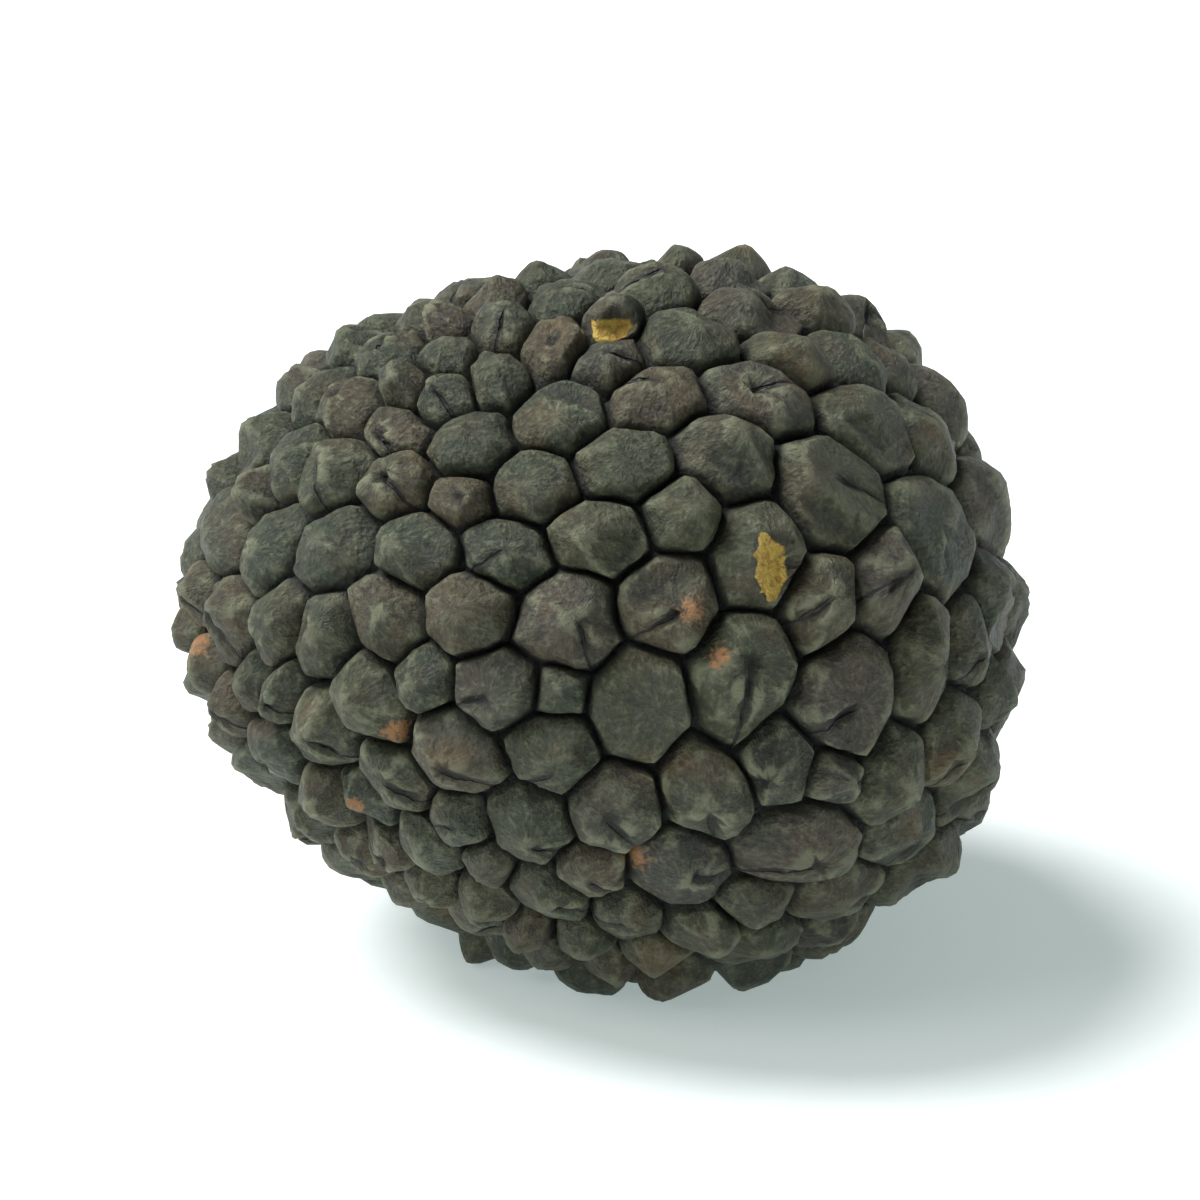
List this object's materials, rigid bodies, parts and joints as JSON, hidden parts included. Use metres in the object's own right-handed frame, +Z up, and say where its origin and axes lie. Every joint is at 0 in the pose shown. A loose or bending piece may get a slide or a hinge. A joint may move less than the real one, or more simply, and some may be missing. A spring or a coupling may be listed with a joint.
{
  "type": "black truffle",
  "caption": "Whole black truffle, egg-shaped, its dark skin packed with polygonal warts, lying on a small flat spot.",
  "frame": {"origin": "on the surface the truffle rests on, under the middle of its box", "axes": "+Z up from the rest spot; +X along the long axis, towards the blunt end; +Y from the front to the back"},
  "size_m": [0.05, 0.046, 0.0413],
  "materials": {
    "truffle_skin": "matt, dry, finely grained near-black olive skin with darker furrows and paler wart tips"
  },
  "bodies": {
    "root": {"truffle": "truffle_skin"}
  },
  "joints": []
}
